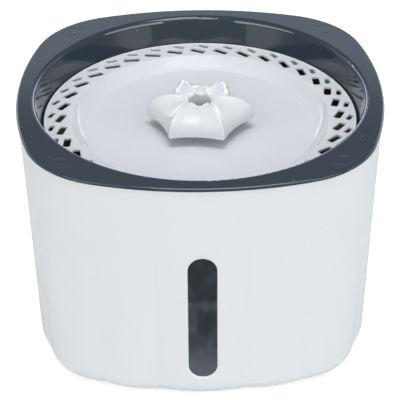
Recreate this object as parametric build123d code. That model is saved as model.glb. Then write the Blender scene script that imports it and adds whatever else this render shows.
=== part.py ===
from build123d import *
import os
from math import asin, atan2, cos, degrees, radians, sin, sqrt, tan

# Pet water fountain, in millimetres. +Z is up, the level window faces -Y, and
# the origin is the centre of the base on the surface it stands on.

# ---- Driving dimensions ---------------------------------------------------

# Outline, shared by tank and top ring
flange_width = 8.2          # ring flange at the middle of a side
side_radius = 181.5         # bow of each side, at the ring
corner_radius = 47.5        # round of each corner, at the ring

# Tank
tank_height = 124.7         # from the underside of the base to the rim
tank_wall = 2.4
tank_floor = 2.5
tank_draft = 2.4            # degrees that the walls lean out
tank_foot_round = 7.0       # rounding between base and walls
ring_overhang = 0.65        # of the ring's edge past the tank's rim
pleat_depth = 1.8           # valleys between the pleats, at the foot
middle_pleat_width = 47.5   # of the pleat in the middle of each side
notch_width = 9.0           # lead's way out, in the back of the rim
notch_depth = 8.0

# Feet
foot_height = 1.0           # that the pads stand proud of the base
foot_pad_radius = 6.0
foot_pad_round = 0.5
foot_recess = 1.0           # seat of each pad in the base
foot_spacing = 110.0        # between pads, both ways

# Level window
window_length = 72.9
window_width = 14.2
window_bottom = 13.3        # lower end of the window above the ground
window_bevel = 0.7
window_wall = 1.8
window_recess = 0.5         # of the pane behind the wall's face
window_land = 1.2           # flat seat raised on the wall's inside
window_seat_width = 3.0     # of the land and of the flange around the hole
gasket_thickness = 0.8
window_flange = 1.2

# Top ring
ring_edge = 1.6             # visible thickness of the flange
ring_flare = 0.5            # the flange's lower edge past its upper one
ring_edge_round = 1.0
lip_round = 1.8             # rolled edge between flange and well
well_depth = 14.0           # from the ring's top to the tray's shelf
well_taper = 13.9           # degrees that the well's wall leans out
well_wall = 2.0
well_foot_round = 1.0
ledge_drop = 4.6            # from the tray's shelf to the ledge
ledge_width = 3.4
ledge_thickness = 2.0
ledge_blend = 0.8           # between the ledge and the well's wall
skirt_depth = 7.9           # locating skirt inside the tank's rim
skirt_wall = 1.6
rib_wall = 1.5              # ribs that stiffen the flange's corners
rib_spread = 13.0           # degrees from the corner to a rib

# Tray
tray_radius = 79.6
tray_gap = 1.0              # between the tray's edge and the well's wall
tray_wall = 1.3
tray_lip = 0.3              # raised edge of the shelf
tray_lip_width = 1.2
tray_lip_blend = 0.8        # from the shelf up to the lip
tray_lip_round = 0.3
tray_edge_round = 0.5
tray_corner_blend = 0.6     # below the shelf, at skirt and collar
tray_underside_blend = 1.5  # below the shelf, at the basin's slope
shelf_width = 13.9          # perforated shelf around the basin
basin_depth = 5.8
basin_slope_run = 6.8       # from the shelf's inner edge to the flat floor
basin_slope_bow = 0.7       # hollow of that slope
tray_skirt_wall = 1.2
collar_wall = 1.7
collar_depth = 8.0

# Drain slots: two rows of slanted, round-cornered slots
slot_count = 36
slot_slant = 65.0           # degrees from the radius to the slot's length
inner_row_inset = 8.5       # from the tray's edge to the row
inner_slot_length = 8.4
inner_slot_width = 3.7
inner_slot_round = 1.0
inner_row_phase = 0.5       # degrees
outer_row_inset = 3.5
outer_slot_length = 5.6
outer_slot_width = 2.5
outer_slot_round = 0.7
outer_row_phase = 8.0

# Flower spout
petal_count = 6
petal_turn = -35.0          # degrees, middle of the first petal
petal_hover = 5.8           # of the petals' edge above the basin's floor
petal_wall = 1.5
spout_bore = 5.75           # radius
spout_lip_round = 1.5       # petals rolled down into the bore
ridge_round = 1.2           # along the ridges between the petals
ridge_lip_height = 11.6     # heights above the petals' edge
ridge_crest_radius = 14.0
ridge_crest_height = 12.5
ridge_shoulder_radius = 24.3
ridge_shoulder_height = 9.0
ridge_tip_radius = 27.6
petal_lip_height = 10.0
petal_crest_radius = 11.0
petal_crest_height = 10.6
petal_shoulder_radius = 18.9
petal_shoulder_height = 7.6
petal_edge_radius = 21.6
stem_wall = 1.85
stem_drop = 12.8            # of the stem below the basin's floor
stem_flange_width = 3.0
stem_flange_thickness = 1.2
seal_section = 0.55         # radius of the seals' round section
seal_slack = 0.05           # of the seals in their grooves
seal_gap = 0.15             # between a seal and the bore round it

# Filter basket and cartridge
basket_depth = 16.0         # below the ledge
basket_wall = 1.6
basket_foot_round = 2.5
basket_flange_thickness = 1.2
basket_clearance = 0.5      # between the basket and the ledge's edge
column_gap = 1.2            # between the tray's collar and the column
column_wall = 1.6
drain_count = 30
drain_length = 22.0
drain_width = 2.6
drain_margin = 4.0          # between the drains and the basket's wall
cartridge_clearance = 0.6
cartridge_headroom = 0.5    # between cartridge and tray
felt_thickness = 1.4
filter_rim_wall = 1.4
filter_spokes = 6
filter_spoke_wall = 1.2

# Pump
cup_height = 5.0
cup_radius = 8.0
cup_wall = 1.6
cup_rim = 0.8               # width of the ring that seals on the floor
cup_hollow = 2.2            # height under the cup
cup_stem_radius = 2.5
cup_socket_depth = 2.0
motor_width = 42.0
motor_height = 40.0
motor_depth = 32.0
motor_wall = 1.8
motor_round = 4.5
rotor_height = 16.5         # of the rotor's axis above the motor's underside
magnet_radius = 6.2
magnet_length = 22.0
magnet_gap = 0.6            # water gap round the magnet
well_tube_wall = 1.4
shaft_radius = 1.0
shaft_fit = 0.05            # running clearance of the rotor on its shaft
bush_radius = 2.2
bush_length = 2.6
impeller_radius = 10.6
impeller_depth = 8.0
impeller_plate = 1.2        # disc that carries the vanes
impeller_hub_radius = 4.2
vane_count = 6
vane_wall = 1.2
vane_sweep = 22.0           # degrees from a vane's root to its tip
chamber_clearance = 1.6     # round the impeller
chamber_wall = 1.8
inlet_radius = 6.4
inlet_spoke_wall = 1.6
inlet_spokes = 3
dial_rim = 2.4              # of the dial outside the inlet
dial_thickness = 1.8
dial_pin_radius = 2.0
dial_fit = 0.06
dial_gap = 0.4
dial_lever_width = 4.0
dial_lever_length = 6.0
dial_lever_round = 1.0
dial_port_angle = 54.0      # degrees that each port of the dial spans
spigot_radius = 4.0
spigot_bore = 3.0
spigot_length = 9.0
nozzle_wall = 1.2           # of the nozzle's foot outside the riser's wall
riser_fit = 0.4             # radial, riser over spigot
riser_wall = 1.0
riser_overlap = 6.0         # riser inside the spout's stem
cover_depth = 28.0
cover_wall = 1.6
cover_slots = 7
cover_slot_width = 1.8
cover_slot_margin = 6.0
sponge_thickness = 8.6
fit_gap = 0.3               # loose gap between neighbouring pieces
core_wall = 4.2
core_depth = 18.0
coil_build = 2.6            # thickness of the winding
coil_round = 1.0
gland_radius = 3.0
gland_bore = 1.7
gland_flange = 1.6
gland_length = 6.0

past = 1.0                  # that a cutting shape runs past what it cuts

# ---- Derived sizes and places ---------------------------------------------

tank_rim = foot_height + tank_height
ring_top = tank_rim + ring_edge
shelf_top = ring_top - well_depth
ledge_top = shelf_top - ledge_drop
basin_floor = shelf_top - basin_depth
petal_edge = basin_floor + petal_hover
well_radius = tray_radius + tray_gap
lip_radius = well_radius + well_depth * tan(radians(well_taper))
ledge_radius = well_radius - ledge_width
rim_half_width = lip_radius + flange_width
tank_rim_half_width = rim_half_width + ring_flare - ring_overhang
shelf_radius = tray_radius - shelf_width
basin_radius = shelf_radius - basin_slope_run
stem_radius = spout_bore + stem_wall
collar_bore = stem_radius + seal_section + seal_gap
collar_radius = collar_bore + collar_wall
stem_bottom = basin_floor - stem_drop
stem_seal_height = basin_floor - collar_depth / 2
riser_top = stem_bottom + riser_overlap
basket_floor = ledge_top - basket_depth
basket_radius = ledge_radius - basket_clearance
column_bore = collar_radius + column_gap
column_radius = column_bore + column_wall
tank_floor_top = foot_height + tank_floor
motor_base = tank_floor_top + cup_height
motor_top = motor_base + motor_height
rotor_axis = motor_base + rotor_height
riser_bore = spigot_radius + riser_fit
riser_radius = riser_bore + riser_wall
nozzle_radius = riser_radius + nozzle_wall
chamber_radius = impeller_radius + chamber_clearance
chamber_half_depth = impeller_depth / 2 + chamber_clearance
chamber_outer = chamber_radius + chamber_wall
motor_front = nozzle_radius + fit_gap
motor_back = motor_front + motor_depth
chamber_front = -chamber_half_depth - chamber_wall
shaft_front = -impeller_depth / 2 - fit_gap - bush_length
magnet_front = motor_front + magnet_gap
magnet_back = magnet_front + magnet_length
well_bore = magnet_radius + magnet_gap
well_back = magnet_back + magnet_gap + bush_length
nozzle_top = motor_top + cover_wall
outlet_seal_height = nozzle_top + spigot_length / 2
cover_front = motor_front - cover_depth


# ---- Helpers --------------------------------------------------------------

def polar(radius, angle):
    return Vector(radius * cos(radians(angle)), radius * sin(radians(angle)))


def section(half_width, height, pleat=0.0):
    """Face with the fountain's rounded-square outline at one height.

    All outlines share the arc centres of the ring's outline, so they run
    parallel. pleat draws the sixteen valleys in by that much; the crests of
    the pleats stay on the outline.
    """
    inset = rim_half_width - half_width
    side_arc = side_radius - inset
    corner_arc = corner_radius - inset
    side_centre = side_radius - rim_half_width
    reach = side_radius - corner_radius
    corner_centre = (sqrt(2 * reach**2 - side_centre**2) - side_centre) / 2
    seam = degrees(atan2(corner_centre, corner_centre + side_centre))
    middle = degrees(asin(middle_pleat_width / 2 / side_radius))
    edges = []
    for quarter in range(4):
        turn = 90 * quarter
        centre = polar(-side_centre, turn)
        valleys = (-seam, -middle, middle, seam)
        for start, end in zip(valleys, valleys[1:]):
            edges.append(Edge.make_three_point_arc(
                centre + polar(side_arc - pleat, turn + start),
                centre + polar(side_arc, turn + (start + end) / 2),
                centre + polar(side_arc - pleat, turn + end)))
        corner = polar(corner_centre * sqrt(2), turn + 45)
        edges.append(Edge.make_three_point_arc(
            centre + polar(side_arc - pleat, turn + seam),
            corner + polar(corner_arc, turn + 45),
            polar(-side_centre, turn + 90) + polar(side_arc - pleat, turn + 90 - seam)))
    return Pos(0, 0, height) * Face(Wire(edges))


def turned(*corners):
    """Solid of revolution about +Z; a corner is (radius, height[, rounding])."""
    points = [(corner[0], 0, corner[1]) for corner in corners]
    rounds = [corner[2] if len(corner) > 2 else 0 for corner in corners]
    return revolve(Face(Wire(FilletPolyline(points, radius=rounds, close=True).edges())), Axis.Z)


def tube(outer, inner, low, high):
    return Pos(0, 0, low) * extrude(Circle(outer) - Circle(inner), amount=high - low)


def rod(radius, low, high):
    return Pos(0, 0, low) * extrude(Circle(radius), amount=high - low)


def block(x, y, z):
    """Box between two limits along each axis."""
    size = [high - low for low, high in (x, y, z)]
    centre = [(high + low) / 2 for low, high in (x, y, z)]
    return Pos(*centre) * Box(*size)


def along_y(shape):
    """Turns a shape made about +Z so that it lies along +Y on the rotor's axis."""
    return Pos(0, 0, rotor_axis) * Rot(-90, 0, 0) * shape


def merged(shapes):
    return Part() + list(shapes)


# ---- Tank -----------------------------------------------------------------

def tank_half_width(height):
    return tank_rim_half_width - (tank_rim - height) * tan(radians(tank_draft))


def pleat_at(height):
    return pleat_depth * (tank_rim - height) / tank_height


def tank_form(inset, base, foot_round):
    """Drafted, pleated body from base to rim, with a rounded foot."""
    def level(height, extra):
        return section(tank_half_width(height) - inset - extra, height, pleat_at(height))

    foot = [level(base + foot_round * (1 - cos(radians(angle))), foot_round * (1 - sin(radians(angle))))
            for angle in (0, 30, 60, 90)]
    wall = [level(base + foot_round, 0), level(tank_rim, 0)]
    return loft(foot) + loft(wall, ruled=True)


def foot_places():
    return GridLocations(foot_spacing, foot_spacing, 2, 2)


window_centre = window_bottom + window_length / 2 * cos(radians(tank_draft))
window_plane = Plane(
    origin=(0, -tank_half_width(window_centre), window_centre),
    x_dir=(1, 0, 0),
    z_dir=(0, -cos(radians(tank_draft)), -sin(radians(tank_draft))))


def window_slot(margin, back, front):
    """Upright stadium, grown by margin, between two depths behind the wall's face."""
    outline = SlotOverall(window_length + 2 * margin, window_width + 2 * margin, rotation=90)
    return window_plane * Pos(0, 0, -back) * extrude(outline, amount=back - front)


land_face = tank_wall + window_land
gasket_face = land_face + gasket_thickness


def make_tank_shell():
    shell = tank_form(0, foot_height, tank_foot_round)
    shell -= tank_form(tank_wall, tank_floor_top, tank_foot_round - tank_wall)
    shell += window_slot(window_seat_width, land_face, tank_wall / 2)
    shell -= window_slot(0, 2 * land_face, -land_face)
    bevel = SlotOverall(window_length + 2 * window_bevel, window_width + 2 * window_bevel, rotation=90)
    shell -= window_plane * extrude(bevel, amount=-window_bevel, taper=45)
    pad_seat = rod(foot_pad_radius + fit_gap / 2, foot_height, foot_height + foot_recess)
    shell -= [place * pad_seat for place in foot_places()]
    back = tank_rim_half_width
    reach = 4 * tank_wall
    notch_round = notch_width / 2
    notch_middle = tank_rim - notch_depth + notch_round
    notch = block((-notch_round, notch_round), (back - reach, back + past), (notch_middle, tank_rim + past))
    notch += Pos(0, back, notch_middle) * Rot(90, 0, 0) * Cylinder(notch_round, 2 * reach)
    return shell - notch


def make_feet():
    top = foot_height + foot_recess
    pad = turned((0, 0), (foot_pad_radius, 0, foot_pad_round), (foot_pad_radius, top), (0, top))
    return merged(place * pad for place in foot_places())


def make_window_gasket():
    return (window_slot(window_seat_width, gasket_face, land_face)
            - window_slot(0, gasket_face + past, land_face - past))


def make_level_window():
    back = gasket_face + window_flange
    slack = -fit_gap / 2
    pane = window_slot(slack, back, window_recess)
    pane += window_slot(window_seat_width, back, gasket_face)
    return pane - window_slot(slack - window_wall, back + past, window_recess + window_wall)


# ---- Top ring -------------------------------------------------------------

def skirt_form(inset, bottom, top):
    gap = tank_wall + fit_gap + pleat_at(bottom) + inset
    return loft([section(tank_half_width(height) - gap, height) for height in (bottom, top)], ruled=True)


def make_top_ring():
    flange = loft([section(rim_half_width + ring_flare, tank_rim), section(rim_half_width, ring_top)],
                  ruled=True)
    flange = fillet(flange.faces().sort_by(Axis.Z)[-1].edges(), ring_edge_round)
    skirt_bottom = tank_rim - skirt_depth
    skirt = skirt_form(0, skirt_bottom, tank_rim)
    inside = skirt_form(skirt_wall, skirt_bottom, tank_rim)
    ledge_bottom = ledge_top - ledge_thickness
    wall_radius = well_radius + well_wall
    outer_lip = lip_radius + well_wall - ring_edge * tan(radians(well_taper))
    flange_middle = ring_top - ring_edge / 2
    well = turned((0, ledge_bottom), (wall_radius, ledge_bottom, well_foot_round), (wall_radius, shelf_top),
                  (outer_lip, tank_rim), (outer_lip, flange_middle), (0, flange_middle))
    ribs = [Rot(0, 0, turn + side * rib_spread)
            * block((well_radius, 2 * well_radius), (-rib_wall / 2, rib_wall / 2), (skirt_bottom, tank_rim))
            for turn in (45, 135, 225, 315) for side in (-1, 1)]
    ring = flange + (skirt - inside) + (merged(ribs) & inside) + well
    ring -= turned((0, ledge_bottom - past), (ledge_radius, ledge_bottom - past), (ledge_radius, ledge_top),
                   (well_radius, ledge_top, ledge_blend), (well_radius, shelf_top), (lip_radius, ring_top),
                   (lip_radius, ring_top + past), (0, ring_top + past))
    rolled = ring.edges().filter_by(lambda edge: edge.geom_type == GeomType.CIRCLE
                                    and abs(edge.radius - lip_radius) < 0.01)
    ring = fillet(rolled, lip_round)
    notch_half = notch_width / 2 + fit_gap
    return ring - block((-notch_half, notch_half), (lip_radius + well_wall, 2 * rim_half_width),
                        (skirt_bottom - past, tank_rim))


# ---- Tray -----------------------------------------------------------------

def slot_row(inset, length, width, corner, phase):
    slot = Rot(0, 0, slot_slant) * RectangleRounded(length, width, corner)
    return [place * slot for place in PolarLocations(tray_radius - inset, slot_count, start_angle=phase)]


def make_tray():
    skirt_bottom = ledge_top + basket_flange_thickness
    underside = shelf_top - tray_wall
    slope_foot = Vector(basin_radius, 0, basin_floor)
    slope_head = Vector(shelf_radius, 0, shelf_top)
    slope_middle = (slope_foot + slope_head) / 2 + Vector(1, 0, -1).normalized() * basin_slope_bow
    corners = [
        (tray_radius - tray_lip_width, shelf_top, tray_lip_blend),
        (tray_radius - tray_lip_width / 2, shelf_top + tray_lip, tray_lip_round),
        (tray_radius, shelf_top + tray_lip, tray_edge_round),
        (tray_radius, skirt_bottom, 0),
        (tray_radius - tray_skirt_wall, skirt_bottom, 0),
        (tray_radius - tray_skirt_wall, underside, tray_corner_blend),
        (shelf_radius + tray_wall / 2, underside, tray_underside_blend),
        (basin_radius + tray_wall / 2, basin_floor - tray_wall, tray_underside_blend),
        (collar_radius, basin_floor - tray_wall, tray_corner_blend),
        (collar_radius, basin_floor - collar_depth, 0),
        (collar_bore, basin_floor - collar_depth, 0),
        (collar_bore, basin_floor, 0)]
    points = [slope_head] + [(radius, 0, height) for radius, height, _ in corners] + [slope_foot]
    edge = FilletPolyline(points, radius=[rounding for _, _, rounding in corners])
    slope = ThreePointArc(slope_foot, slope_middle, slope_head)
    tray = revolve(Face(Wire(edge.edges() + slope.edges())), Axis.Z)
    rows = slot_row(inner_row_inset, inner_slot_length, inner_slot_width, inner_slot_round, inner_row_phase)
    rows += slot_row(outer_row_inset, outer_slot_length, outer_slot_width, outer_slot_round, outer_row_phase)
    drains = Pos(0, 0, shelf_top + past) * extrude(Sketch() + rows, amount=-tray_wall - 2 * past)
    return tray - drains


# ---- Flower spout ---------------------------------------------------------

def petal_profile(angle, lip, crest, shoulder, edge_radius):
    """Thin half section of the flower in the plane at one angle.

    lip is a height and crest and shoulder are (radius, height), all above the
    petals' edge. The section rolls down into the bore at its inner end.
    """
    roll = [(spout_bore + spout_lip_round * (1 - cos(radians(turn))),
             lip - spout_lip_round * (1 - sin(radians(turn)))) for turn in (0, 35, 70)]
    inner = (spout_bore - petal_wall / 3, lip - spout_lip_round - petal_wall)
    upper = [inner, *roll, crest, shoulder, (edge_radius, 0)]
    lower = [(inner[0], inner[1] - petal_wall), (stem_radius + petal_wall, lip - petal_wall / 2),
             (crest[0], crest[1] - petal_wall),
             (shoulder[0] - petal_wall, shoulder[1] - petal_wall / 2), (edge_radius - petal_wall, 0)]
    upper = [Vector(radius, 0, petal_edge + height) for radius, height in upper]
    lower = [Vector(radius, 0, petal_edge + height) for radius, height in lower]
    edges = [Spline(*upper), Line(upper[-1], lower[-1]), Spline(*reversed(lower)), Line(lower[0], upper[0])]
    return Rot(0, 0, angle) * Face(Wire([line.edge() for line in edges]))


def make_flower_spout():
    half = 180 / petal_count
    ridge = (ridge_lip_height, (ridge_crest_radius, ridge_crest_height),
             (ridge_shoulder_radius, ridge_shoulder_height), ridge_tip_radius)
    middle = (petal_lip_height, (petal_crest_radius, petal_crest_height),
              (petal_shoulder_radius, petal_shoulder_height), petal_edge_radius)
    petal = loft([petal_profile(-half, *ridge), petal_profile(0, *middle), petal_profile(half, *ridge)])
    petals = merged(Rot(0, 0, petal_turn + 2 * half * index) * petal for index in range(petal_count))
    ridges = petals.edges().sort_by(Axis.Z)[-petal_count:]
    petals = fillet(ridges, ridge_round)
    stem = rod(stem_radius, stem_bottom, petal_edge + petal_lip_height - spout_lip_round)
    stem += rod(stem_radius + stem_flange_width, basin_floor, basin_floor + stem_flange_thickness)
    spout = petals + stem - rod(spout_bore, stem_bottom - past, ring_top)
    return spout - seal_ring(stem_radius, stem_seal_height, seal_slack)


def seal_ring(radius, height, slack=0.0):
    """O-ring round a stem, half sunk in its groove; slack widens it into the groove."""
    return Pos(0, 0, height) * Torus(radius, seal_section + slack)


def make_spout_seal():
    return seal_ring(stem_radius, stem_seal_height)


# ---- Filter ---------------------------------------------------------------

def make_filter_basket():
    inner = basket_radius - basket_wall
    floor_top = basket_floor + basket_wall
    flange_top = ledge_top + basket_flange_thickness
    column_top = basin_floor - tray_wall - fit_gap
    basket = turned((column_bore, basket_floor), (basket_radius, basket_floor, basket_foot_round),
                    (basket_radius, ledge_top), (tray_radius, ledge_top), (tray_radius, flange_top),
                    (inner, flange_top), (inner, floor_top, cartridge_clearance / 2),
                    (column_radius, floor_top), (column_radius, column_top), (column_bore, column_top))
    outer_row = inner - drain_margin - drain_length / 2
    inner_row = column_radius + drain_margin + drain_length / 2
    drain = SlotOverall(drain_length, drain_width)
    drains = [place * drain for place in PolarLocations(outer_row, drain_count)]
    drains += [place * drain for place in PolarLocations(inner_row, drain_count // 2)]
    return basket - Pos(0, 0, basket_floor - past) * extrude(Sketch() + drains, amount=basket_wall + 2 * past)


cartridge_radius = basket_radius - basket_wall - cartridge_clearance
cartridge_bore = column_radius + cartridge_clearance
cartridge_bottom = basket_floor + basket_wall
frame_bottom = cartridge_bottom + felt_thickness
cartridge_top = basin_floor - tray_wall - cartridge_headroom
frame_top = cartridge_top - felt_thickness
bed_split = (frame_bottom + frame_top) / 2


def make_felt(bottom):
    return tube(cartridge_radius, cartridge_bore, bottom, bottom + felt_thickness)


def filter_spoke_forms(low, high):
    spoke = block((cartridge_bore + filter_rim_wall / 2, cartridge_radius - filter_rim_wall / 2),
                  (-filter_spoke_wall / 2, filter_spoke_wall / 2), (low, high))
    return merged(place * spoke for place in PolarLocations(0, filter_spokes))


def make_filter_frame():
    outer = tube(cartridge_radius, cartridge_radius - filter_rim_wall, frame_bottom, frame_top)
    inner = tube(cartridge_bore + filter_rim_wall, cartridge_bore, frame_bottom, frame_top)
    return outer + inner + filter_spoke_forms(frame_bottom, frame_top)


def make_bed(low, high):
    """Granules that fill one layer of the chambers between the spokes."""
    fill = tube(cartridge_radius - filter_rim_wall, cartridge_bore + filter_rim_wall, low, high)
    return fill - filter_spoke_forms(low, high)


# ---- Pump -----------------------------------------------------------------

motor_x = (-motor_width / 2, motor_width / 2)
motor_z = (motor_base, motor_top)
cup_places = [Pos(side * (motor_width / 2 - cup_radius), depth, 0)
              for side in (-1, 1) for depth in (motor_front + cup_radius, motor_back - cup_radius)]
core_y = ((motor_front + motor_back - core_depth) / 2, (motor_front + motor_back + core_depth) / 2)
leg_inside = well_bore + well_tube_wall + fit_gap
yoke_bottom = rotor_axis + well_bore + well_tube_wall + coil_build + 2 * fit_gap
yoke_top = yoke_bottom + core_wall
lid_front = motor_back - motor_wall


def shrunk(limits, amount):
    return limits[0] + amount, limits[1] - amount


def rounded_block(x, y, z, corner):
    """Box with its four edges along Y rounded."""
    box = block(x, y, z)
    return fillet(box.edges().filter_by(Axis.Y), corner)


def make_pump_housing():
    housing = rounded_block(motor_x, (motor_front, motor_back), motor_z, motor_round)
    housing -= rounded_block(shrunk(motor_x, motor_wall), (motor_front + motor_wall, motor_back + past),
                             shrunk(motor_z, motor_wall), motor_round - motor_wall)
    housing += along_y(rod(well_bore + well_tube_wall, motor_front, well_back + well_tube_wall))
    housing -= along_y(rod(well_bore, motor_front - past, magnet_back + magnet_gap))
    housing -= along_y(rod(bush_radius, motor_front, well_back))
    socket_top = motor_base + cup_socket_depth
    pad = rod(cup_stem_radius + motor_wall, motor_base + motor_wall / 2, socket_top + motor_wall / 2)
    housing += [place * pad for place in cup_places]
    socket = rod(cup_stem_radius, motor_base - past, socket_top)
    return housing - merged(place * socket for place in cup_places)


def make_suction_cups():
    bottom = tank_floor_top
    socket_top = motor_base + cup_socket_depth
    cup = turned((0, bottom + cup_hollow), (cup_radius - 2 * cup_wall, bottom + cup_hollow - cup_rim),
                 (cup_radius - cup_rim, bottom), (cup_radius, bottom), (cup_radius - cup_wall, bottom + cup_wall),
                 (cup_stem_radius + cup_rim, motor_base), (cup_stem_radius, motor_base),
                 (cup_stem_radius, socket_top), (0, socket_top))
    return merged(place * cup for place in cup_places)


def gland_place():
    return Pos(0, lid_front, yoke_bottom - core_wall) * Rot(-90, 0, 0)


def make_motor_backplate():
    x = shrunk(motor_x, motor_wall)
    z = shrunk(motor_z, motor_wall)
    plate = rounded_block(x, (lid_front, motor_back), z, motor_round - motor_wall)
    return plate - gland_place() * Cylinder(gland_radius, 4 * motor_wall)


def make_cable_gland():
    outer = gland_radius + gland_flange
    end = motor_wall + gland_length
    gland = rod(gland_radius, 0, motor_wall)
    gland += turned((0, motor_wall), (outer, motor_wall), (outer, motor_wall + gland_flange),
                    (gland_radius, end), (0, end))
    return gland_place() * (gland - rod(gland_bore, -past, end + past))


def make_stator_core():
    leg = (leg_inside, leg_inside + core_wall)
    legs_z = (rotor_axis - magnet_radius, yoke_top)
    core = block(leg, core_y, legs_z) + block((-leg[1], -leg[0]), core_y, legs_z)
    return core + block((-leg[1], leg[1]), core_y, (yoke_bottom, yoke_top))


def make_stator_coil():
    x = shrunk((-leg_inside, leg_inside), fit_gap)
    wound = rounded_block(x, (core_y[0] - coil_build, core_y[1] + coil_build),
                          (yoke_bottom - coil_build, yoke_top + coil_build), coil_round)
    return wound - block((-leg_inside, leg_inside), core_y, (yoke_bottom, yoke_top))


def make_rotor_shaft():
    return along_y(rod(shaft_radius, shaft_front, well_back))


def make_shaft_bushes():
    bush = tube(bush_radius, shaft_radius, 0, bush_length)
    return along_y(Pos(0, 0, shaft_front) * bush) + along_y(Pos(0, 0, well_back - bush_length) * bush)


def make_magnet_rotor():
    return along_y(tube(magnet_radius, shaft_radius + shaft_fit, magnet_front, magnet_back))


def make_impeller():
    half = impeller_depth / 2
    wheel = tube(impeller_hub_radius, shaft_radius + shaft_fit, -half, magnet_front)
    wheel += tube(impeller_radius, shaft_radius + shaft_fit, half - impeller_plate, half)
    root = impeller_hub_radius - vane_wall / 2
    tip = impeller_radius - vane_wall / 2
    camber = ThreePointArc((root, 0), polar((root + tip) / 2, vane_sweep / 2.5), polar(tip, vane_sweep))
    vane = Pos(0, 0, -half) * extrude(trace(camber, vane_wall), amount=impeller_depth)
    return along_y(wheel + merged(place * vane for place in PolarLocations(0, vane_count)))


def make_volute_cover():
    volute = along_y(rod(chamber_outer, chamber_front, motor_front))
    volute += rod(nozzle_radius, rotor_axis, nozzle_top)
    volute += rod(spigot_radius, nozzle_top, nozzle_top + spigot_length)
    volute -= along_y(rod(chamber_radius, -chamber_half_depth, motor_front + past))
    volute -= rod(spigot_bore, rotor_axis, nozzle_top + spigot_length + past)
    volute -= along_y(rod(inlet_radius, chamber_front - past, 0))
    hub = rod(bush_radius + inlet_spoke_wall, chamber_front, -chamber_half_depth)
    half_spoke = inlet_spoke_wall / 2
    spoke = block((bush_radius, inlet_radius + half_spoke), (-half_spoke, half_spoke),
                  (chamber_front, -chamber_half_depth))
    pin = rod(dial_pin_radius, chamber_front - dial_thickness - 2 * dial_gap, shaft_front)
    volute += along_y(hub + [place * spoke for place in PolarLocations(0, inlet_spokes)] + pin)
    volute -= along_y(rod(bush_radius, shaft_front, 0))
    return volute - seal_ring(spigot_radius, outlet_seal_height, seal_slack)


def make_outlet_seal():
    return Pos(0, 0, outlet_seal_height) * Torus(spigot_radius, riser_fit - seal_slack)


def make_flow_dial():
    low = chamber_front - dial_gap - dial_thickness
    high = low + dial_thickness
    radius = inlet_radius + dial_rim
    lever = Pos(0, -radius) * RectangleRounded(dial_lever_width, dial_lever_length, dial_lever_round)
    disc = rod(radius, low, high) + Pos(0, 0, low) * extrude(lever, amount=dial_thickness)
    half_port = dial_port_angle / 2
    port = make_face(Polyline((0, 0), polar(2 * radius, -half_port), polar(2 * radius, half_port), close=True))
    ports = [place * port for place in PolarLocations(0, inlet_spokes, start_angle=180 / inlet_spokes)]
    ring = Circle(inlet_radius) - Circle(bush_radius + inlet_spoke_wall)
    disc -= Pos(0, 0, low - past) * extrude((Sketch() + ports) & ring, amount=dial_thickness + 2 * past)
    return along_y(disc - rod(dial_pin_radius + dial_fit, low - past, high + past))


def make_riser_tube():
    return tube(riser_radius, riser_bore, nozzle_top, riser_top)


def make_intake_cover():
    cover = rounded_block(motor_x, (cover_front, motor_front), motor_z, motor_round)
    cover -= rounded_block(shrunk(motor_x, cover_wall), (cover_front + cover_wall, motor_front + past),
                           shrunk(motor_z, cover_wall), motor_round - cover_wall)
    half = nozzle_radius + fit_gap
    top = (motor_top - cover_wall - past, motor_top + past)
    cover -= block((-half, half), (0, motor_front + past), top) + rod(half, *top)
    pitch = (motor_width - 2 * cover_slot_margin) / (cover_slots - 1)
    slot = SlotOverall(motor_height - 2 * cover_slot_margin, cover_slot_width, rotation=90)
    grille = Sketch() + [place * slot for place in GridLocations(pitch, 0, cover_slots, 1)]
    middle = (0, cover_front - past, (motor_base + motor_top) / 2)
    front = Plane(origin=middle, x_dir=(1, 0, 0), z_dir=(0, -1, 0))
    return cover - front * extrude(grille, amount=-cover_wall - 2 * past)


def make_intake_sponge():
    back = cover_front + cover_wall + sponge_thickness
    inset = cover_wall + fit_gap / 2
    return rounded_block(shrunk(motor_x, inset), (cover_front + cover_wall, back), shrunk(motor_z, inset),
                         motor_round - inset)


# ---- All pieces -----------------------------------------------------------

pieces = {
    "tank_shell": make_tank_shell(),
    "feet": make_feet(),
    "window_gasket": make_window_gasket(),
    "level_window": make_level_window(),
    "top_ring": make_top_ring(),
    "tray": make_tray(),
    "flower_spout": make_flower_spout(),
    "spout_seal": make_spout_seal(),
    "filter_basket": make_filter_basket(),
    "lower_felt": make_felt(cartridge_bottom),
    "filter_frame": make_filter_frame(),
    "resin_bed": make_bed(frame_bottom, bed_split),
    "carbon_bed": make_bed(bed_split, frame_top),
    "upper_felt": make_felt(frame_top),
    "riser_tube": make_riser_tube(),
    "outlet_seal": make_outlet_seal(),
    "pump_housing": make_pump_housing(),
    "suction_cups": make_suction_cups(),
    "motor_backplate": make_motor_backplate(),
    "cable_gland": make_cable_gland(),
    "stator_core": make_stator_core(),
    "stator_coil": make_stator_coil(),
    "rotor_shaft": make_rotor_shaft(),
    "shaft_bushes": make_shaft_bushes(),
    "magnet_rotor": make_magnet_rotor(),
    "impeller": make_impeller(),
    "volute_cover": make_volute_cover(),
    "flow_dial": make_flow_dial(),
    "intake_cover": make_intake_cover(),
    "intake_sponge": make_intake_sponge(),
}

os.makedirs("parts", exist_ok=True)
for node, piece in pieces.items():
    export_step(piece, f"parts/{node}.step")
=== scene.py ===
import bpy
import math
from mathutils import Matrix, Vector

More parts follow.
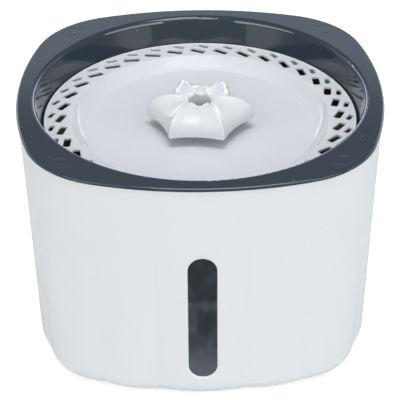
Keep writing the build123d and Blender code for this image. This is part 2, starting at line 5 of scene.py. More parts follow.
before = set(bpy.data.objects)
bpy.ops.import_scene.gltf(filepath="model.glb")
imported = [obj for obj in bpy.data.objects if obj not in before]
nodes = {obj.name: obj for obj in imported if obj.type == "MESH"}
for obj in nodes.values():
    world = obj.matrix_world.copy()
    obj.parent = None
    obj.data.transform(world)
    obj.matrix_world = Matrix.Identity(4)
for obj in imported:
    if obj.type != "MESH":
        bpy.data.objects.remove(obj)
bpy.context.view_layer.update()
print("frame loaded:", len(nodes), "nodes")

# lengths are in metres, angles in degrees

layoutSet = {"perRow": 12, "across": 180, "down": 260}  # where new nodes land in the shader editor
mixSockets = {"in": (0, 6, 7), "out": 2}  # a Mix node's share, first colour and second colour, and its result


# shader tree helpers
def addNode(tree, kind, **settings):
    node = tree.nodes.new("ShaderNode" + kind)
    row, column = divmod(len(tree.nodes), layoutSet["perRow"])
    node.location = (layoutSet["across"] * column, -layoutSet["down"] * row)
    for name, value in settings.items():
        setattr(node, name, value)
    return node


def feed(tree, value, socket):
    # links a socket, or sets a plain value
    if isinstance(value, bpy.types.NodeSocket):
        tree.links.new(value, socket)
    else:
        socket.default_value = value


def feedAll(tree, values, sockets):
    for value, socket in zip(values, sockets):
        feed(tree, value, socket)


def calc(tree, operation, *values):
    node = addNode(tree, "Math", operation=operation)
    feedAll(tree, values, node.inputs)
    return node.outputs[0]


def calcVector(tree, operation, *values):
    node = addNode(tree, "VectorMath", operation=operation)
    feedAll(tree, values, node.inputs)
    return node.outputs["Value" if operation == "DOT_PRODUCT" else "Vector"]


def distance(tree, x, y):
    return calc(tree, "SQRT", calc(tree, "ADD", calc(tree, "POWER", x, 2.0), calc(tree, "POWER", y, 2.0)))


def ramp(tree, value, low, high, first=0.0, last=1.0):
    # soft step: first below low, last above high
    node = addNode(tree, "MapRange", interpolation_type="SMOOTHSTEP")
    feedAll(tree, (value, low, high, first, last), node.inputs)
    return node.outputs[0]


def mixColour(tree, share, first, second):
    node = addNode(tree, "Mix", data_type="RGBA")
    values = [(*value, 1.0) if isinstance(value, tuple) else value for value in (share, first, second)]
    feedAll(tree, values, [node.inputs[index] for index in mixSockets["in"]])
    return node.outputs[mixSockets["out"]]


def newGroup(name, inputs, outputs):
    tree = bpy.data.node_groups.new(name, "ShaderNodeTree")
    for label, value in inputs.items():
        kind = "NodeSocketVector" if isinstance(value, tuple) else "NodeSocketFloat"
        socket = tree.interface.new_socket(label, in_out="INPUT", socket_type=kind)
        socket.default_value = value
    for label, kind in outputs.items():
        tree.interface.new_socket(label, in_out="OUTPUT", socket_type="NodeSocket" + kind)
    return tree, tree.nodes.new("NodeGroupInput").outputs, tree.nodes.new("NodeGroupOutput").inputs


def useGroup(tree, group, **values):
    node = addNode(tree, "Group")
    node.node_tree = group
    for label, value in values.items():
        feed(tree, value, node.inputs[label])
    return node.outputs


def place(tree):
    return addNode(tree, "TexCoord").outputs["Object"]


def stretched(tree, scale):
    node = addNode(tree, "Mapping")
    tree.links.new(place(tree), node.inputs["Vector"])
    node.inputs["Scale"].default_value = scale
    return node.outputs[0]


def split(tree, vector):
    node = addNode(tree, "SeparateXYZ")
    tree.links.new(vector, node.inputs[0])
    return node.outputs


def noise(tree, scale, detail=2.0, where=None):
    node = addNode(tree, "TexNoise")
    feed(tree, where or place(tree), node.inputs["Vector"])
    feed(tree, scale, node.inputs["Scale"])
    feed(tree, detail, node.inputs["Detail"])
    return node.outputs[0]


def cellsOf(tree, scale, where=None, feature="F1"):
    node = addNode(tree, "TexVoronoi", feature=feature)
    feed(tree, where or place(tree), node.inputs["Vector"])
    feed(tree, scale, node.inputs["Scale"])
    return node.outputs


# camera
cameraSet = {"at": (-0.00534, -0.85503, 0.60431), "turn": -0.332, "pitch": 57.648, "roll": -0.45,
             "lens": 173.97, "sensor": 36.0, "clipStart": 0.01}


def makeCamera():
    data = bpy.data.cameras.new("camera")
    data.lens = cameraSet["lens"]
    data.sensor_width = cameraSet["sensor"]
    data.clip_start = cameraSet["clipStart"]
    camera = bpy.data.objects.new("camera", data)
    turns = [Matrix.Rotation(math.radians(cameraSet[name]), 4, axis)
             for name, axis in (("turn", "Z"), ("pitch", "X"), ("roll", "Z"))]
    camera.matrix_world = Matrix.Translation(cameraSet["at"]) @ turns[0] @ turns[1] @ turns[2]
    bpy.context.scene.collection.objects.link(camera)
    bpy.context.scene.camera = camera


# soft lamps, which light the object but don't mirror in it
lampSet = {
    "aim": (0.0, 0.0, 0.09),
    "lamps": {
        "left": {"at": (-1.1, -0.9, 0.9), "size": (0.7, 0.9), "watts": 4.7},
        "right": {"at": (1.1, -0.9, 0.9), "size": (0.7, 0.9), "watts": 4.7},
        "lowLeft": {"at": (-1.4, -0.55, 0.3), "size": (0.6, 0.4), "watts": 2.1},
        "lowRight": {"at": (1.4, -0.55, 0.3), "size": (0.6, 0.4), "watts": 3.5},
        "front": {"at": (0.0, -1.5, 0.85), "size": (0.7, 0.4), "watts": 5.3},
        "top": {"at": (0.0, -0.25, 1.5), "size": (0.9, 0.5), "watts": 11.0},
    },
}


def makeLamps():
    for name, look in lampSet["lamps"].items():
        data = bpy.data.lights.new(name, "AREA")
        data.shape = "RECTANGLE"
        data.size, data.size_y = look["size"]
        data.energy = look["watts"]
        lamp = bpy.data.objects.new(name, data)
        lamp.location = look["at"]
        lamp.rotation_euler = (Vector(lampSet["aim"]) - lamp.location).to_track_quat("-Z", "Y").to_euler()
        lamp.visible_glossy = False
        bpy.context.scene.collection.objects.link(lamp)


# the studio that shows in glossy pieces: a cool white backdrop behind, brighter near its foot, a softbox
# above and in front, and two more at the sides with pale panels below them; angles are up from the floor's
# line, or round from straight ahead, on either side
studioSet = {
    "room": (0.9, 0.95, 1.0), "roomGlow": 0.37, "white": (1.0, 1.0, 1.0),
    "behind": (0.74, 0.85, 1.0), "ahead": (0.96, 1.0, 0.97), "tintFade": 0.2, "dimGlow": 0.3,
    "down": -90.0, "back": 180.0, "pastBack": 200.0,
    "backdropHalf": 75.0, "backdropTop": 29.0, "backdropGlow": 0.9,
    "footRise": (125.0, 150.0), "footFall": (162.0, 178.0), "footTop": 16.0, "footGlow": 4.2, "footBack": 2.0,
    "sideFrom": 25.0, "sideTo": 68.0, "sideLow": 14.0, "sideTop": 27.0, "sideGlow": 4.2,
    "panelFrom": 33.0, "panelFade": 48.0, "panelTo": 90.0, "panelTop": 9.0, "panelGlow": 1.0,
    "boxLeft": -12.0, "boxRight": 20.0, "boxLow": 40.0, "boxHigh": 92.0, "boxGlow": 5.0,
    "edge": 3.0,
}


def patch(tree, value, low, high):
    # 1 between low and high, with soft edges
    half = studioSet["edge"] / 2
    rise = ramp(tree, value, low - half, low + half)
    fall = ramp(tree, value, high - half, high + half, 1.0, 0.0)
    return calc(tree, "MULTIPLY", rise, fall)


def mirroredGlow(tree, x, front, z):
    look = studioSet
    up = calc(tree, "DEGREES", calc(tree, "ARCSINE", z))
    across = calc(tree, "ABSOLUTE", calc(tree, "DEGREES", calc(tree, "ARCTAN2", x, front)))
    behind = patch(tree, across, look["back"] - look["backdropHalf"], look["pastBack"])
    backdrop = calc(tree, "MULTIPLY", behind, patch(tree, up, look["down"], look["backdropTop"]))
    foot = calc(tree, "MULTIPLY", behind, patch(tree, up, look["down"], look["footTop"]))
    footGlow = calc(tree, "MINIMUM",
                    ramp(tree, across, *look["footRise"], look["backdropGlow"], look["footGlow"]),
                    ramp(tree, across, *look["footFall"], look["footGlow"], look["footBack"]))
    fade = calc(tree, "MULTIPLY", patch(tree, across, look["panelFrom"], look["panelTo"]),
                ramp(tree, across, look["panelFade"], look["sideTo"], 1.0, 0.0))
    panels = calc(tree, "MULTIPLY", fade, patch(tree, up, look["down"], look["panelTop"]))
    sideBoxes = calc(tree, "MULTIPLY", patch(tree, across, look["sideFrom"], look["sideTo"]),
                     patch(tree, up, look["sideLow"], look["sideTop"]))
    # the softbox is measured from the middle plane and round the axis that runs across
    high = calc(tree, "DEGREES", calc(tree, "ARCTAN2", z, front))
    side = calc(tree, "DEGREES", calc(tree, "ARCSINE", x))
    softbox = calc(tree, "MULTIPLY", patch(tree, side, look["boxLeft"], look["boxRight"]),
                   patch(tree, high, look["boxLow"], look["boxHigh"]))
    glow = look["dimGlow"]
    for mask, strength in ((backdrop, look["backdropGlow"]), (foot, footGlow), (panels, look["panelGlow"]),
                           (sideBoxes, look["sideGlow"]), (softbox, look["boxGlow"])):
        glow = ramp(tree, mask, 0.0, 1.0, glow, strength)
    return glow


def makeStudio():
    world = bpy.data.worlds.new("studio")
    bpy.context.scene.world = world
    world.use_nodes = True
    tree = world.node_tree
    tree.nodes.clear()
    x, y, z = split(tree, addNode(tree, "TexCoord").outputs["Generated"])
    front = calc(tree, "MULTIPLY", y, -1.0)
    # matt surfaces see an even room, glossy and clear ones the studio, and the eye plain white
    room, mirrored, white = (addNode(tree, "Background") for step in range(3))
    room.inputs["Color"].default_value = (*studioSet["room"], 1.0)
    room.inputs["Strength"].default_value = studioSet["roomGlow"]
    fade = ramp(tree, front, -studioSet["tintFade"], studioSet["tintFade"])
    tree.links.new(mixColour(tree, fade, studioSet["behind"], studioSet["ahead"]), mirrored.inputs["Color"])
    tree.links.new(mirroredGlow(tree, x, front, z), mirrored.inputs["Strength"])
    white.inputs["Color"].default_value = (*studioSet["white"], 1.0)
    path = addNode(tree, "LightPath").outputs
    seen = calc(tree, "MAXIMUM", path["Is Glossy Ray"], path["Is Transmission Ray"])
    out = room.outputs[0]
    for share, other in ((seen, mirrored), (path["Is Camera Ray"], white)):
        mix = addNode(tree, "MixShader")
        feedAll(tree, (share, out, other.outputs[0]), mix.inputs)
        out = mix.outputs[0]
    tree.links.new(out, addNode(tree, "OutputWorld").inputs["Surface"])


# pale floor that turns white to the eye and keeps the object's shadow
floorSet = {"reach": 4.0, "colour": (0.85, 0.85, 0.85), "lift": 0.45}


def makeFloor():
    reach = floorSet["reach"]
    mesh = bpy.data.meshes.new("floor")
    corners = [(-reach, -reach, 0), (reach, -reach, 0), (reach, reach, 0), (-reach, reach, 0)]
    mesh.from_pydata(corners, [], [(0, 1, 2, 3)])
    mat = bpy.data.materials.new("paleFloor")
    mat.use_nodes = True
    tree = mat.node_tree
    tree.nodes.clear()
    paint = addNode(tree, "BsdfDiffuse")
    paint.inputs["Color"].default_value = (*floorSet["colour"], 1.0)
    glow = addNode(tree, "Emission")
    eye = addNode(tree, "LightPath").outputs["Is Camera Ray"]
    tree.links.new(calc(tree, "MULTIPLY", eye, floorSet["lift"]), glow.inputs["Strength"])
    both = addNode(tree, "AddShader")
    feedAll(tree, (paint.outputs[0], glow.outputs[0]), both.inputs)
    tree.links.new(both.outputs[0], addNode(tree, "OutputMaterial").inputs["Surface"])
    mesh.materials.append(mat)
    floor = bpy.data.objects.new("floor", mesh)
    bpy.context.scene.collection.objects.link(floor)


makeCamera()
makeLamps()
makeStudio()
makeFloor()
bpy.context.scene.view_settings.view_transform = "Standard"
print("camera, lamps and stage ready")


# effects that several finishes share
wearAndLightSet = {"samples": 4, "from": 0.01}


def makeEdgeWearAndLight():
    # softens sharp edges and marks them: rubbed on most pieces, and a painted highlight on the tank
    tree, given, result = newGroup("edgeWearAndLight", {"Radius": 0.0004, "Reach": 0.25},
                                   {"Normal": "Vector", "Mask": "Float"})
    softened = addNode(tree, "Bevel", samples=wearAndLightSet["samples"])
    tree.links.new(given["Radius"], softened.inputs["Radius"])
    flat = addNode(tree, "NewGeometry").outputs["Normal"]
    bent = calc(tree, "SUBTRACT", 1.0, calcVector(tree, "DOT_PRODUCT", softened.outputs[0], flat))
    tree.links.new(softened.outputs[0], result["Normal"])
    tree.links.new(ramp(tree, bent, wearAndLightSet["from"], given["Reach"]), result["Mask"])
    return tree


skinSet = {"grainDetail": 3.0, "patchDetail": 4.0, "patchFrom": 0.3, "patchTo": 0.7}


def makeMouldSkin():
    # the skin a mould leaves: fine grain, and patches a little rougher and paler than others
    tree, given, result = newGroup("mouldSkin",
                                   {"Grain": 2500.0, "Patch": 28.0, "Gloss": 0.2, "Spread": 0.05},
                                   {"Height": "Float", "Roughness": "Float", "Tone": "Float"})
    tree.links.new(noise(tree, given["Grain"], skinSet["grainDetail"]), result["Height"])
    cloud = noise(tree, given["Patch"], skinSet["patchDetail"])
    span = (skinSet["patchFrom"], skinSet["patchTo"])
    low = calc(tree, "SUBTRACT", given["Gloss"], given["Spread"])
    high = calc(tree, "ADD", given["Gloss"], given["Spread"])
    tree.links.new(ramp(tree, cloud, *span, low, high), result["Roughness"])
    tree.links.new(ramp(tree, cloud, *span), result["Tone"])
    return tree


def makeDust():
    # lone specks: few cells hold one, and each is smaller than its cell
    tree, given, result = newGroup("dust", {"Cells": 420.0, "Share": 0.06, "Size": 0.09}, {"Mask": "Float"})
    cells = cellsOf(tree, given["Cells"])
    chance = addNode(tree, "SeparateColor")
    tree.links.new(cells["Color"], chance.inputs[0])
    chosen = calc(tree, "LESS_THAN", chance.outputs["Red"], given["Share"])
    size = calc(tree, "MULTIPLY", given["Size"], chance.outputs["Green"])
    dot = calc(tree, "LESS_THAN", cells["Distance"], size)
    tree.links.new(calc(tree, "MULTIPLY", chosen, dot), result["Mask"])
    return tree


scuffSet = {"bendScale": 18.0, "bendDetail": 1.0, "bend": 0.05,
            "gapScale": 140.0, "gapFrom": 0.5, "gapTo": 0.62}


def makeScuffs():
    # hair-fine rubbing marks that run every way
    tree, given, result = newGroup("scuffs", {"Scale": 60.0, "Width": 0.03}, {"Mask": "Float"})
    wander = noise(tree, scuffSet["bendScale"], scuffSet["bendDetail"])
    bend = calc(tree, "MULTIPLY", wander, scuffSet["bend"])
    lines = cellsOf(tree, given["Scale"], calcVector(tree, "ADD", place(tree), bend), "DISTANCE_TO_EDGE")
    thin = ramp(tree, lines["Distance"], 0.0, given["Width"], 1.0, 0.0)
    gaps = ramp(tree, noise(tree, scuffSet["gapScale"]), scuffSet["gapFrom"], scuffSet["gapTo"])
    tree.links.new(calc(tree, "MULTIPLY", thin, gaps), result["Mask"])
    return tree


fibreSet = {"pulls": ((1.0, 0.16, 1.0), (0.2, 1.0, 1.0)), "detail": 3.0, "toneFrom": 0.4, "toneTo": 0.75}


def makeFibres():
    # matted fibres of felt, drawn out one way and crossed by a second layer
    tree, given, result = newGroup("fibres", {"Scale": 900.0}, {"Height": "Float", "Tone": "Float"})
    layers = [noise(tree, given["Scale"], fibreSet["detail"], stretched(tree, pull))
              for pull in fibreSet["pulls"]]
    height = calc(tree, "MAXIMUM", *layers)
    tree.links.new(height, result["Height"])
    tree.links.new(ramp(tree, height, fibreSet["toneFrom"], fibreSet["toneTo"]), result["Tone"])
    return tree


granuleSet = {"size": 0.7}


def makeGranules():
    # loose round grains
    tree, given, result = newGroup("granules", {"Cells": 800.0}, {"Height": "Float", "Tone": "Float"})
    cells = cellsOf(tree, given["Cells"])
    shade = addNode(tree, "SeparateColor")
    tree.links.new(cells["Color"], shade.inputs[0])
    tree.links.new(ramp(tree, cells["Distance"], 0.0, granuleSet["size"], 1.0, 0.0), result["Height"])
    tree.links.new(shade.outputs["Red"], result["Tone"])
    return tree


bandSet = {"half": 0.5, "groove": 0.2}  # in pitches


def makeBands():
    # even ridges square to an axis: wire turns and laminations, with painted shade in the grooves between
    # them
    tree, given, result = newGroup("bands", {"Axis": (1.0, 0.0, 0.0), "Pitch": 0.0004},
                                   {"Height": "Float", "Tone": "Float"})
    along = calcVector(tree, "DOT_PRODUCT", place(tree), given["Axis"])
    wave = calc(tree, "PINGPONG", calc(tree, "DIVIDE", along, given["Pitch"]), bandSet["half"])
    tree.links.new(calc(tree, "SQRT", calc(tree, "DIVIDE", wave, bandSet["half"])), result["Height"])
    # Tone is 0 in the grooves, where the darker colour is painted shade
    tree.links.new(ramp(tree, wave, 0.0, bandSet["groove"]), result["Tone"])
    return tree


edgeWearAndLight = makeEdgeWearAndLight()
mouldSkin = makeMouldSkin()
dust = makeDust()
scuffs = makeScuffs()
fibres = makeFibres()
granules = makeGranules()
bands = makeBands()
print("shared effects ready")


# finishes
def newFinish(name, **constants):
    # sets constants on the shader's own sockets, whose names have a space where these have an underscore
    mat = bpy.data.materials.new(name)
    mat.use_nodes = True
    skin = mat.node_tree.nodes["Principled BSDF"].inputs
    for label, value in constants.items():
        skin[label.replace("_", " ")].default_value = value
    return mat, mat.node_tree, skin


def bumped(tree, height, depth, normal=None):
    node = addNode(tree, "Bump")
    node.inputs["Distance"].default_value = depth
    tree.links.new(height, node.inputs["Height"])
    if normal is not None:
        tree.links.new(normal, node.inputs["Normal"])
    return node.outputs[0]


def leant(tree, normal, look):
    # turns the well's upright skin a little to the sky, and more so close below the lip
    x, y, z = split(tree, place(tree))
    inside = calc(tree, "LESS_THAN", distance(tree, x, y), look["wellReach"])
    lean = addNode(tree, "CombineXYZ")
    rise = ramp(tree, z, *look["lipFrom"], *look["lean"])
    tree.links.new(calc(tree, "MULTIPLY", inside, rise), lean.inputs["Z"])
    return calcVector(tree, "NORMALIZE", calcVector(tree, "ADD", normal, lean.outputs[0]))


# what a moulded plastic has, unless its own settings say otherwise
plasticSet = {"ior": 1.5, "soft": 0.0, "softReach": 0.0, "softTint": (1.0, 1.0, 1.0), "wearAndLightReach": 0.25}


def plastic(name, own, sinks=None):
    # moulded plastic: grain, patchy gloss, softened edges that are lightly rubbed on most pieces and carry a
    # painted highlight on the tank, a little dust
    look = {**plasticSet, **own}
    mat, tree, skin = newFinish(name, IOR=look["ior"], Subsurface_Weight=look["soft"],
                                Subsurface_Radius=look["softTint"], Subsurface_Scale=look["softReach"])
    edges = useGroup(tree, edgeWearAndLight, Radius=look["edge"], Reach=look["wearAndLightReach"])
    grain = useGroup(tree, mouldSkin, Grain=look["grain"], Gloss=look["gloss"], Spread=look["spread"])
    colour = mixColour(tree, grain["Tone"], look["colour"], look["patch"])
    # edge colour: rubbing on most pieces, a painted highlight on the tank
    colour = mixColour(tree, calc(tree, "MULTIPLY", edges["Mask"], look["wearAndLight"]), colour, look["wornAndLit"])
    if "dust" in look:
        specks = useGroup(tree, dust, Share=look["dust"])["Mask"]
        colour = mixColour(tree, specks, colour, look["dustColour"])
    rough = grain["Roughness"]
    if "scuffs" in look:
        marks = useGroup(tree, scuffs)["Mask"]
        rough = calc(tree, "ADD", rough, calc(tree, "MULTIPLY", marks, look["scuffs"]))
    normal = edges["Normal"]
    if "lean" in look:
        normal = leant(tree, normal, look)
    if sinks is not None:
        normal = bumped(tree, sinks(tree), look["sinkDepth"], normal)
    tree.links.new(colour, skin["Base Color"])
    tree.links.new(rough, skin["Roughness"])
    tree.links.new(bumped(tree, grain["Height"], look["depth"], normal), skin["Normal"])
    return mat


def dress(mat, *names):
    for name in names:
        nodes[name].material_slots[0].material = mat


# tank: cool white shell with a satin gloss; its near-white edge colour is a painted highlight along its
# edges, the window's bevel among them
tankSet = {"colour": (0.663, 0.678, 0.692), "patch": (0.673, 0.688, 0.70), "wornAndLit": (0.93, 0.94, 0.95),
           "wearAndLight": 1.0, "wearAndLightReach": 0.12, "gloss": 0.24, "spread": 0.03, "grain": 2600.0, "depth": 0.000004,
           "edge": 0.0009, "dust": 0.02, "dustColour": (0.42, 0.42, 0.41)}
dress(plastic("tankWhite", tankSet), "tank_shell")

# top ring: slate gloss, which shows every speck, with faint sinks over the bosses and ribs below its corners;
# lean is added to the upward part of the well's unit normal, below and at the lip
ringSet = {"colour": (0.026, 0.037, 0.048), "patch": (0.028, 0.039, 0.051), "wornAndLit": (0.07, 0.085, 0.1),
           "wearAndLight": 0.25, "gloss": 0.045, "spread": 0.012, "grain": 1800.0, "depth": 0.000002, "edge": 0.0003,
           "ior": 1.6, "dust": 0.07, "dustColour": (0.5, 0.52, 0.54),
           "sinkDepth": 0.000018, "sinkWidth": 0.0012, "bossReach": 0.0954, "bossRadius": 0.0042,
           "ribReach": 0.011, "ribAway": 1.0, "waver": 0.0022, "waverScale": 110.0, "waverDetail": 1.0,
           "lean": (0.07, 0.24), "lipFrom": (0.1238, 0.1262), "wellReach": 0.0865}


def cornerSinks(tree):
    # the four corners are folded onto one; there a ring stands for the boss and a line for its ribs
    look = ringSet
    wander = calc(tree, "SUBTRACT", noise(tree, look["waverScale"], look["waverDetail"]), 0.5)
    shift = calc(tree, "MULTIPLY", wander, look["waver"])
    x, y = (calc(tree, "ABSOLUTE", axis) for axis in split(tree, place(tree))[:2])
    slope = math.sqrt(0.5)
    along = calc(tree, "MULTIPLY", calc(tree, "SUBTRACT", x, y), slope)
    out = calc(tree, "MULTIPLY_ADD", calc(tree, "ADD", x, y), slope, -look["bossReach"])
    out = calc(tree, "ADD", out, shift)
    far = distance(tree, along, out)
    rim = calc(tree, "ABSOLUTE", calc(tree, "SUBTRACT", far, look["bossRadius"]))
    # inside the boss the ribs are put out of reach, and away from it they thin out
    within = ramp(tree, far, 0.0, look["bossRadius"], look["ribAway"], 0.0)
    thinned = ramp(tree, far, look["bossRadius"], look["ribReach"], 0.0, look["sinkWidth"])
    line = calc(tree, "ADD", calc(tree, "ABSOLUTE", out), calc(tree, "ADD", within, thinned))
    return ramp(tree, calc(tree, "MINIMUM", rim, line), 0.0, look["sinkWidth"])


dress(plastic("ringSlate", ringSet, cornerSinks), "top_ring")

# tray: glossy white with a blue cast, rubbed by cleaning
traySet = {"colour": (0.645, 0.66, 0.70), "patch": (0.655, 0.67, 0.71), "wornAndLit": (0.66, 0.67, 0.71),
           "wearAndLight": 0.3, "gloss": 0.07, "spread": 0.015, "grain": 2200.0, "depth": 0.000002, "edge": 0.0007,
           "dust": 0.03, "dustColour": (0.25, 0.25, 0.26), "scuffs": 0.01, "ior": 1.28,
           "soft": 0.4, "softReach": 0.002}
dress(plastic("trayWhite", traySet), "tray")

# flower spout: gloss white that light soaks into a little
flowerSet = {"colour": (0.655, 0.67, 0.685), "patch": (0.665, 0.68, 0.695), "wornAndLit": (0.72, 0.735, 0.75),
             "wearAndLight": 0.25, "gloss": 0.08, "spread": 0.015, "grain": 2200.0, "depth": 0.000002,
             "edge": 0.0003, "dust": 0.015, "dustColour": (0.4, 0.4, 0.4), "ior": 1.35,
             "soft": 0.5, "softReach": 0.003}
dress(plastic("flowerWhite", flowerSet), "flower_spout")
print("tank, ring, tray and flower dressed")

# level window: smoky clear pane, wiped but never quite clean, with painted light low on it
# the smear colour serves for the smears and for the painted light low on the pane
windowSet = {"tint": (0.0055, 0.011, 0.0165), "ior": 1.35, "alpha": 0.92, "gloss": 0.08, "haze": 0.2,
             "smear": (0.13, 0.155, 0.175), "smearScale": 190.0, "smearDetail": 5.0, "smearPull": 0.45,
             "smearFrom": 0.4, "smearTo": 0.75, "smearShare": 0.13,
             "dropCells": 260.0, "dropShare": 0.2, "dropSize": 0.22,
             "ragged": 0.008, "raggedScale": 240.0, "raggedDetail": 4.0,
             "lowLightFrom": 0.048, "lowLightTo": 0.008, "lowLightShare": 0.55,
             "waterLine": 0.0625, "waterFade": 0.004, "collarFrom": 0.009, "collarTo": 0.005,
             "streakLow": 0.033, "streakRise": 0.012, "streakEdge": -0.0035, "streakFade": 0.002,
             "streakShare": 0.5, "streakThin": 0.35,
             "waveScale": 90.0, "waveDetail": 1.0, "waveDepth": 0.00002}


def paintedLightBelowAndStreak(tree, smear):
    # painted light grows towards the bottom of the pane, and a streak runs down one side from a collar at the
    # water line
    look = windowSet
    across, deep, up = split(tree, place(tree))
    wander = noise(tree, look["raggedScale"], look["raggedDetail"])
    middle = calc(tree, "SUBTRACT", up, look["ragged"] / 2)
    height = calc(tree, "MULTIPLY_ADD", wander, look["ragged"], middle)
    line, low, edge = look["waterLine"], look["streakLow"], look["streakEdge"]
    # painted light: the pane turns paler and less clear towards its bottom
    scale = ramp(tree, height, look["lowLightTo"], look["lowLightFrom"], look["lowLightShare"], 0.0)
    below = ramp(tree, height, line - look["waterFade"], line, 1.0, 0.0)
    above = ramp(tree, height, low, low + look["streakRise"])
    beside = ramp(tree, across, edge, edge + look["streakFade"], 1.0, 0.0)
    collar = ramp(tree, height, line - look["collarFrom"], line - look["collarTo"])
    wide = calc(tree, "MULTIPLY", calc(tree, "MAXIMUM", beside, collar), calc(tree, "MULTIPLY", below, above))
    thick = ramp(tree, smear, 0.0, 1.0, look["streakThin"], 1.0)
    streak = calc(tree, "MULTIPLY", wide, calc(tree, "MULTIPLY", thick, look["streakShare"]))
    return calc(tree, "ADD", scale, streak)


def windowPane():
    look = windowSet
    mat, tree, skin = newFinish("smokyPane", IOR=look["ior"])
    pulled = stretched(tree, (1.0, 1.0, look["smearPull"]))
    cloud = noise(tree, look["smearScale"], look["smearDetail"], pulled)
    smear = ramp(tree, cloud, look["smearFrom"], look["smearTo"])
    drops = useGroup(tree, dust, Cells=look["dropCells"], Share=look["dropShare"], Size=look["dropSize"])
    marks = calc(tree, "MAXIMUM", smear, drops["Mask"])
    # the share holds smears and drops, and the painted light low on the pane
    share = calc(tree, "ADD", calc(tree, "MULTIPLY", marks, look["smearShare"]), paintedLightBelowAndStreak(tree, smear))
    tree.links.new(mixColour(tree, share, look["tint"], look["smear"]), skin["Base Color"])
    tree.links.new(ramp(tree, marks, 0.0, 1.0, look["gloss"], look["haze"]), skin["Roughness"])
    tree.links.new(ramp(tree, share, 0.0, 1.0, look["alpha"], 1.0), skin["Alpha"])
    waves = noise(tree, look["waveScale"], look["waveDetail"])
    tree.links.new(bumped(tree, waves, look["waveDepth"]), skin["Normal"])
    return mat


dress(windowPane(), "level_window")

# rubber and silicone: dull, with fine tooth, some with a soft sheen
rubberSet = {"sheen": 0.0, "spread": 0.08, "edge": 0.0003, "dustColour": (0.3, 0.3, 0.29)}


def rubber(name, own):
    look = {**rubberSet, **own}
    mat, tree, skin = newFinish(name, Sheen_Weight=look["sheen"])
    grain = useGroup(tree, mouldSkin, Grain=look["grain"], Gloss=look["gloss"], Spread=look["spread"])
    edges = useGroup(tree, edgeWearAndLight, Radius=look["edge"])
    specks = useGroup(tree, dust, Share=look["dust"])["Mask"]
    colour = mixColour(tree, grain["Tone"], look["colour"], look["patch"])
    tree.links.new(mixColour(tree, specks, colour, look["dustColour"]), skin["Base Color"])
    tree.links.new(grain["Roughness"], skin["Roughness"])
    tree.links.new(bumped(tree, grain["Height"], look["depth"], edges["Normal"]), skin["Normal"])
    return mat


footSet = {"colour": (0.44, 0.45, 0.46), "patch": (0.5, 0.51, 0.51), "gloss": 0.6, "grain": 1500.0,
           "depth": 0.00003, "dust": 0.3, "sheen": 0.1}
gasketSet = {"colour": (0.17, 0.175, 0.18), "patch": (0.2, 0.2, 0.2), "gloss": 0.45, "grain": 2000.0,
             "depth": 0.00001, "dust": 0.05}
sealSet = {"colour": (0.5, 0.51, 0.5), "patch": (0.56, 0.56, 0.55), "gloss": 0.3, "grain": 2400.0,
           "depth": 0.000006, "dust": 0.02}
cupSet = {"colour": (0.02, 0.02, 0.021), "patch": (0.028, 0.028, 0.029), "gloss": 0.5, "grain": 1600.0,
          "depth": 0.00002, "dust": 0.12, "sheen": 0.1}
dress(rubber("footRubber", footSet), "feet")
dress(rubber("gasketSilicone", gasketSet), "window_gasket")
dress(rubber("sealSilicone", sealSet), "spout_seal", "outlet_seal")
dress(rubber("cupRubber", cupSet), "suction_cups", "cable_gland", "shaft_bushes")
print("window and rubber parts dressed")

# filter basket and its cartridge
basketSet = {"colour": (0.03, 0.034, 0.04), "patch": (0.035, 0.039, 0.045), "wornAndLit": (0.09, 0.1, 0.11),
             "wearAndLight": 0.3, "gloss": 0.38, "spread": 0.05, "grain": 1500.0, "depth": 0.00001, "edge": 0.0003,
             "dust": 0.04, "dustColour": (0.3, 0.3, 0.3)}
cartridgeSet = {"colour": (0.72, 0.72, 0.70), "patch": (0.75, 0.75, 0.73), "wornAndLit": (0.8, 0.8, 0.78),
                "wearAndLight": 0.3, "gloss": 0.4, "spread": 0.05, "grain": 1500.0, "depth": 0.00001,
                "edge": 0.0003}
dress(plastic("basketSlate", basketSet), "filter_basket")
dress(plastic("cartridgeWhite", cartridgeSet), "filter_frame")

# felt layers: white cotton below, carbon-loaded above
feltSet = {"rough": 0.95, "depth": 0.0003, "sheen": 0.25}
cottonSet = {"colour": (0.62, 0.61, 0.57), "fluff": (0.85, 0.84, 0.8)}
carbonFeltSet = {"colour": (0.008, 0.008, 0.009), "fluff": (0.04, 0.04, 0.042)}


def felt(name, look):
    mat, tree, skin = newFinish(name, Roughness=feltSet["rough"], Sheen_Weight=feltSet["sheen"])
    matted = useGroup(tree, fibres)
    tree.links.new(mixColour(tree, matted["Tone"], look["colour"], look["fluff"]), skin["Base Color"])
    tree.links.new(bumped(tree, matted["Height"], feltSet["depth"]), skin["Normal"])
    return mat


dress(felt("cottonFelt", cottonSet), "lower_felt")
dress(felt("carbonFelt", carbonFeltSet), "upper_felt")

# granule beds: amber resin beads and black carbon grains
bedSet = {"rise": 0.5}  # a grain's height, as a share of its cell
resinSet = {"colour": (0.28, 0.12, 0.025), "pale": (0.6, 0.36, 0.1), "cells": 900.0, "gloss": 0.3}
carbonBedSet = {"colour": (0.008, 0.008, 0.008), "pale": (0.035, 0.035, 0.037), "cells": 600.0, "gloss": 0.6}


def bed(name, look):
    mat, tree, skin = newFinish(name, Roughness=look["gloss"])
    grains = useGroup(tree, granules, Cells=look["cells"])
    tree.links.new(mixColour(tree, grains["Tone"], look["colour"], look["pale"]), skin["Base Color"])
    tree.links.new(bumped(tree, grains["Height"], bedSet["rise"] / look["cells"]), skin["Normal"])
    return mat


dress(bed("resinBeads", resinSet), "resin_bed")
dress(bed("carbonGrains", carbonBedSet), "carbon_bed")
print("filter dressed")

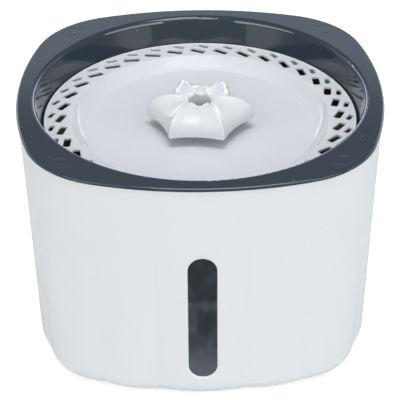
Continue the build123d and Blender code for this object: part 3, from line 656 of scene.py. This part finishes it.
# pump: spark-textured black case, grey dial, white wheel and riser
caseSet = {"colour": (0.018, 0.019, 0.021), "patch": (0.022, 0.023, 0.025), "wornAndLit": (0.07, 0.07, 0.075),
           "wearAndLight": 0.5, "gloss": 0.42, "spread": 0.06, "grain": 1300.0, "depth": 0.00003, "edge": 0.0004,
           "dust": 0.05, "dustColour": (0.3, 0.3, 0.3), "scuffs": 0.1}
dialSet = {"colour": (0.1, 0.105, 0.115), "patch": (0.115, 0.12, 0.13), "wornAndLit": (0.2, 0.2, 0.21),
           "wearAndLight": 0.4, "gloss": 0.3, "spread": 0.05, "grain": 1800.0, "depth": 0.000008, "edge": 0.0002}
wheelSet = {"colour": (0.68, 0.69, 0.69), "patch": (0.71, 0.715, 0.71), "wornAndLit": (0.8, 0.8, 0.8),
            "wearAndLight": 0.3, "gloss": 0.22, "spread": 0.04, "grain": 2000.0, "depth": 0.000005, "edge": 0.0002}
riserSet = {"colour": (0.64, 0.66, 0.67), "patch": (0.67, 0.69, 0.69), "wornAndLit": (0.8, 0.8, 0.8),
            "wearAndLight": 0.3, "gloss": 0.2, "spread": 0.04, "grain": 2200.0, "depth": 0.000004, "edge": 0.0002,
            "dust": 0.03, "dustColour": (0.3, 0.3, 0.3)}
dress(plastic("caseBlack", caseSet), "pump_housing", "motor_backplate", "volute_cover", "intake_cover")
dress(plastic("dialGrey", dialSet), "flow_dial")
dress(plastic("wheelWhite", wheelSet), "impeller")
dress(plastic("riserWhite", riserSet), "riser_tube")

# sponge: open cells between dark ribs; the cells' darker colour is painted shade in their hollows
foamSet = {"colour": (0.006, 0.006, 0.007), "rib": (0.05, 0.05, 0.053), "rough": 0.9, "cells": 750.0,
           "ribFrom": 0.02, "ribTo": 0.25, "depth": 0.0006}


def foam():
    mat, tree, skin = newFinish("openFoam", Roughness=foamSet["rough"])
    cells = cellsOf(tree, foamSet["cells"], feature="DISTANCE_TO_EDGE")
    rib = ramp(tree, cells["Distance"], foamSet["ribFrom"], foamSet["ribTo"], 1.0, 0.0)
    # the cells take the darker colour, painted shade
    tree.links.new(mixColour(tree, rib, foamSet["colour"], foamSet["rib"]), skin["Base Color"])
    tree.links.new(bumped(tree, rib, foamSet["depth"]), skin["Normal"])
    return mat


dress(foam(), "intake_sponge")

# motor pieces: bands run square to the axis given; the groove colour is painted shade between the bands
motorSet = {"grain": 3000.0, "spread": 0.06}
coilSet = {"colour": (0.5, 0.17, 0.05), "groove": (0.16, 0.04, 0.01), "axis": (1.0, 0.0, 0.0),
           "pitch": 0.0004, "gloss": 0.3, "depth": 0.00015, "metal": 1.0}
coreSet = {"colour": (0.36, 0.37, 0.39), "groove": (0.08, 0.08, 0.085), "axis": (0.0, 1.0, 0.0),
           "pitch": 0.0006, "gloss": 0.38, "depth": 0.00005, "metal": 1.0}
magnetSet = {"colour": (0.045, 0.045, 0.05), "groove": (0.03, 0.03, 0.032), "axis": (0.0, 1.0, 0.0),
             "pitch": 0.002, "gloss": 0.45, "depth": 0.000006, "metal": 0.4}
shaftSet = {"colour": (0.8, 0.79, 0.75), "groove": (0.7, 0.69, 0.65), "axis": (0.0, 1.0, 0.0),
            "pitch": 0.0002, "gloss": 0.12, "depth": 0.000001, "metal": 0.0}


def banded(name, look):
    mat, tree, skin = newFinish(name, Metallic=look["metal"])
    lines = useGroup(tree, bands, Axis=look["axis"], Pitch=look["pitch"])
    grain = useGroup(tree, mouldSkin, Grain=motorSet["grain"], Gloss=look["gloss"], Spread=motorSet["spread"])
    tree.links.new(mixColour(tree, lines["Tone"], look["groove"], look["colour"]), skin["Base Color"])
    tree.links.new(grain["Roughness"], skin["Roughness"])
    tree.links.new(bumped(tree, lines["Height"], look["depth"]), skin["Normal"])
    return mat


dress(banded("copperTurns", coilSet), "stator_coil")
dress(banded("steelSheets", coreSet), "stator_core")
dress(banded("ferriteGrey", magnetSet), "magnet_rotor")
dress(banded("ceramicWhite", shaftSet), "rotor_shaft")
print("pump dressed")
